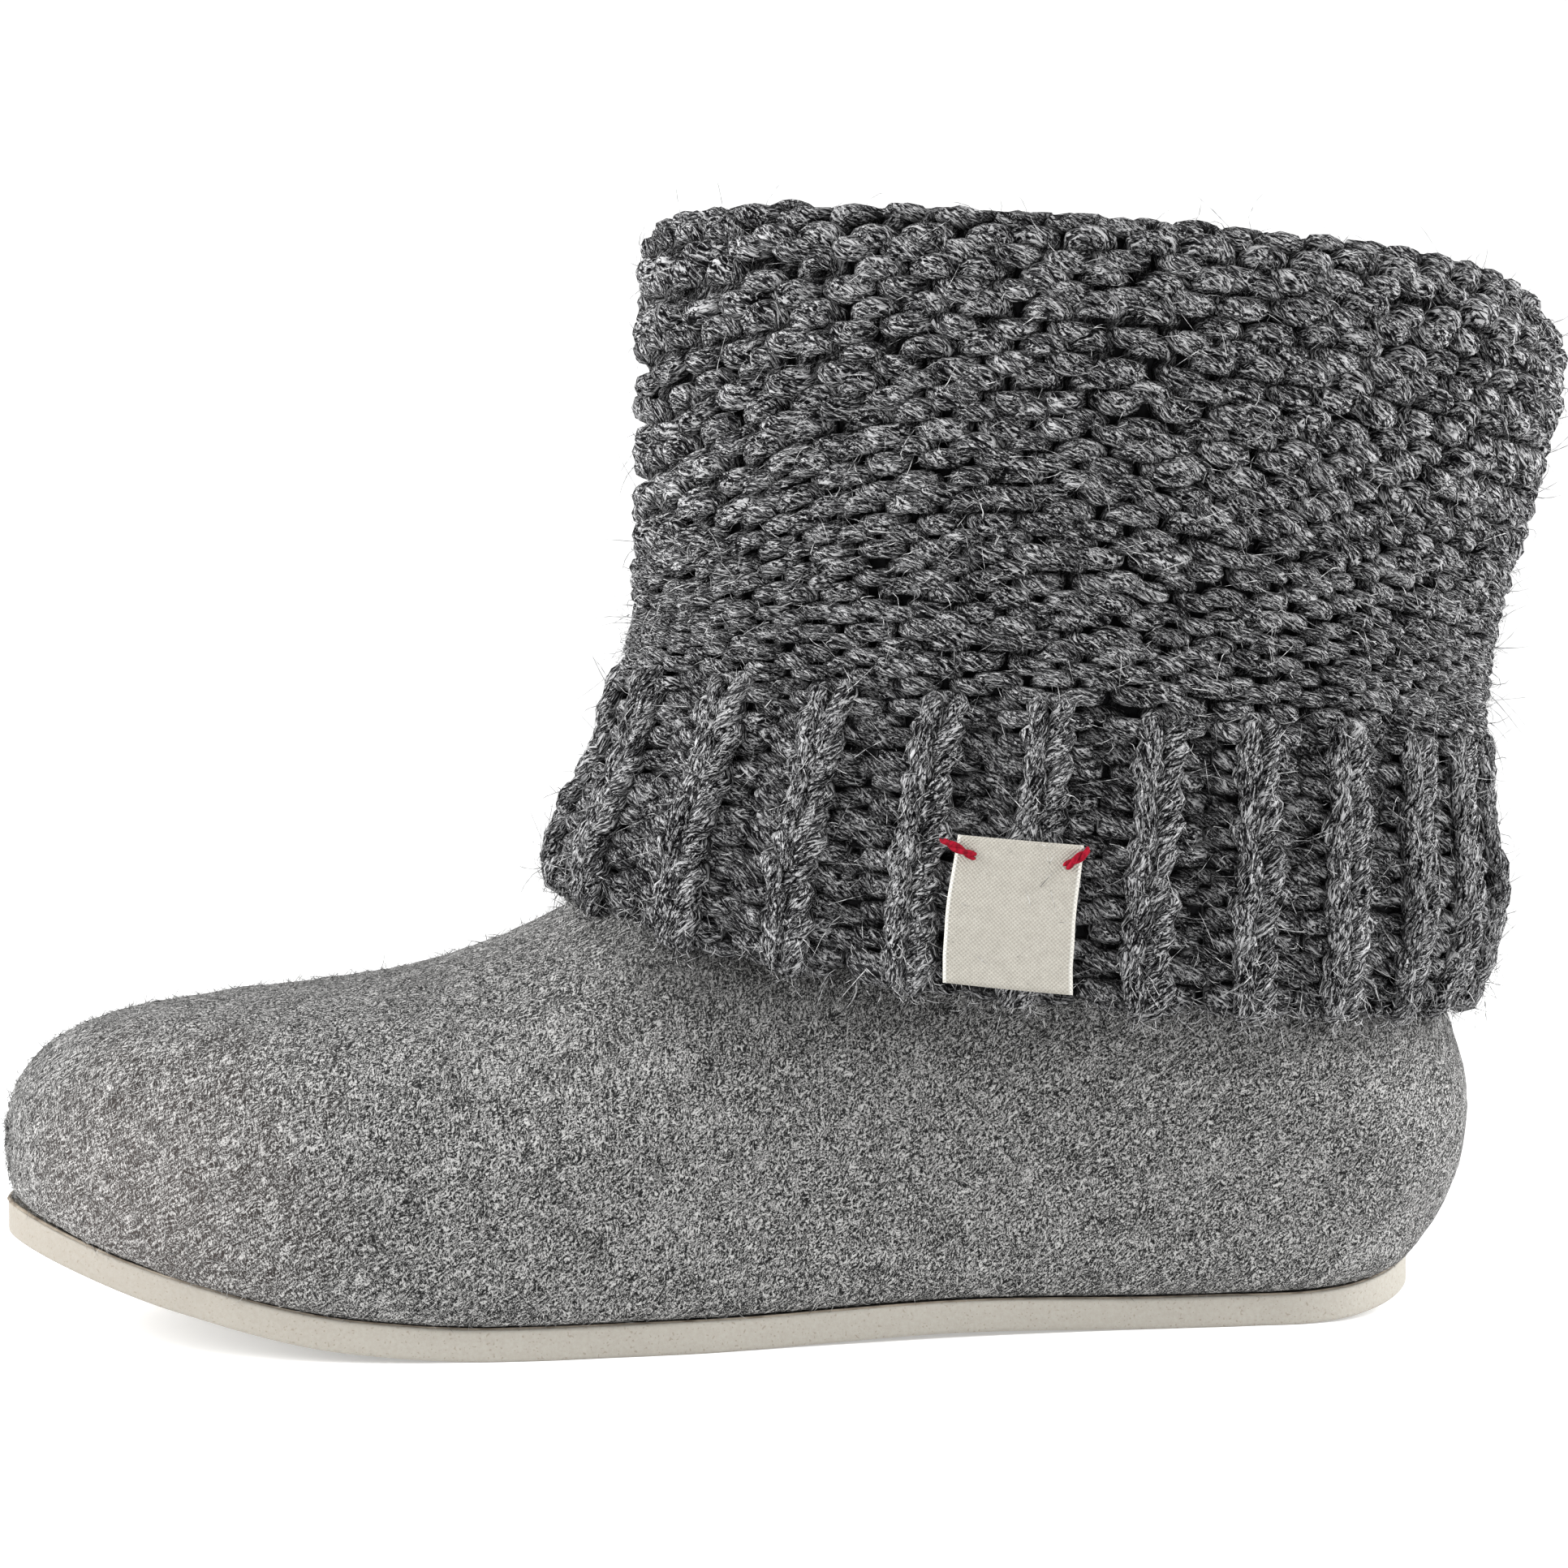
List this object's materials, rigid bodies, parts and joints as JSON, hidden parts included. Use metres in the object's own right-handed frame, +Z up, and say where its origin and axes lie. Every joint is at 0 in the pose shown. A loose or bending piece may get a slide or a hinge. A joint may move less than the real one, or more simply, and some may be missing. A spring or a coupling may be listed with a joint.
{
  "type": "wool slipper",
  "caption": "Ankle-high wool slipper with a seamless felted upper, a thin rubber sheet sole and a turned-down knitted cuff with a bare label tab.",
  "frame": {"origin": "on the floor, under the middle of the shoe's whole box", "axes": "+X towards the heel, so the toe points along -X; +Y towards the inner side of the foot; +Z up"},
  "size_m": [0.291, 0.1074, 0.203],
  "materials": {
    "cream_rubber": "matt natural rubber with a fine grain",
    "grey_felt": "wet-felted melange wool",
    "insole_felt": "pressed wool felt",
    "grey_wool_knit": "thick hand-knitted wool yarn",
    "cream_label_tape": "woven satin tape"
  },
  "bodies": {
    "root": {"outsole": "cream_rubber", "felt_upper": "grey_felt", "insole": "insole_felt", "knit_cuff": "grey_wool_knit", "label": "cream_label_tape"}
  },
  "joints": []
}
